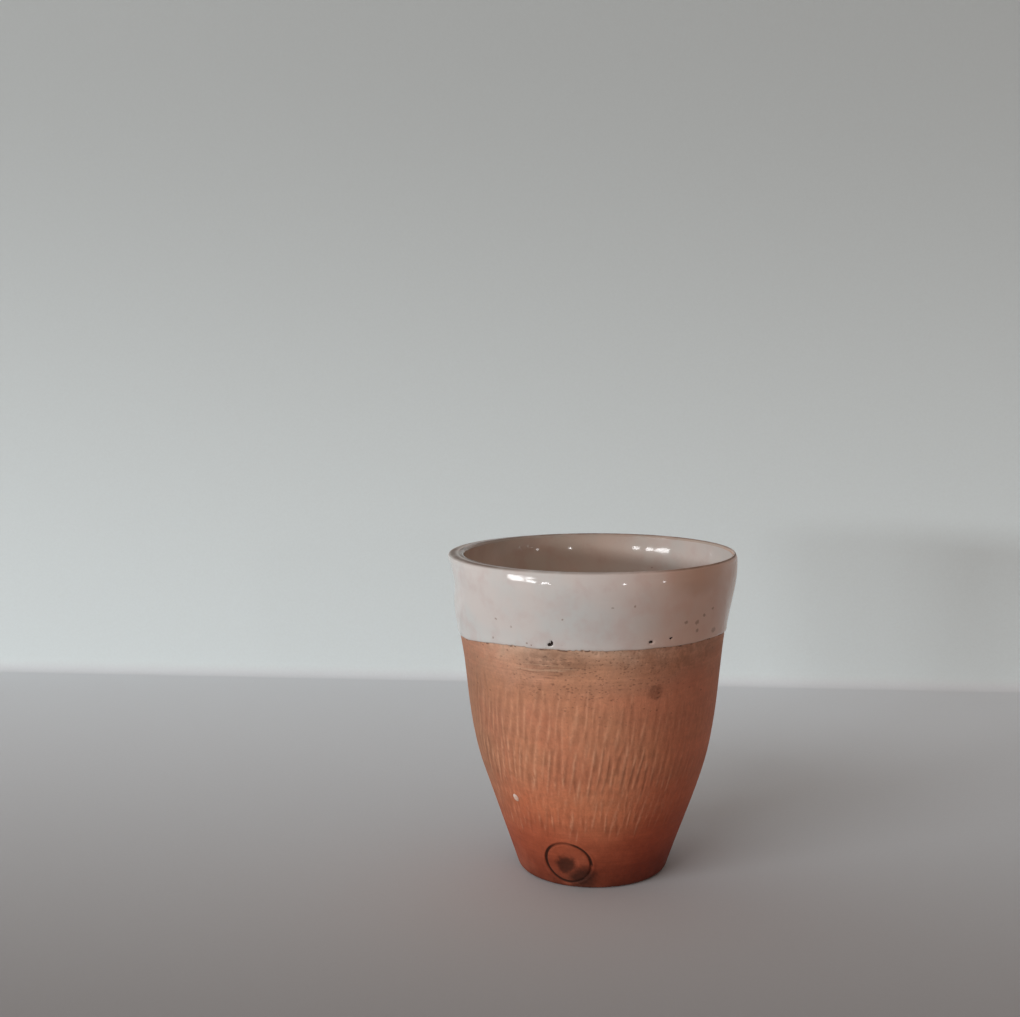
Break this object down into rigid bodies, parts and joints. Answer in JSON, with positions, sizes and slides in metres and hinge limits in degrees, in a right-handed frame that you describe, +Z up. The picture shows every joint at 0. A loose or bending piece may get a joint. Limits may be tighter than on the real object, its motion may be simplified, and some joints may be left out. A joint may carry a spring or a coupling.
{
  "type": "earthenware cup",
  "caption": "Handle-less thrown cup of red earthenware with a straight tapered foot, a bare wall, a glazed inside and a white glaze band dipped over its soft lip.",
  "frame": {"origin": "middle of the foot, on the surface that the cup stands on", "axes": "+Z up the cup's axis; -Y to the pictured front, with the seal a little left of it, towards -X"},
  "size_m": [0.0898, 0.0898, 0.1],
  "materials": {
    "fired_clay": "matte bare fired clay",
    "white_glaze": "gloss off-white glaze"
  },
  "bodies": {
    "root": {"clay_body": "fired_clay", "dipped_glaze_band": "white_glaze", "poured_glaze_liner": "white_glaze"}
  },
  "joints": []
}
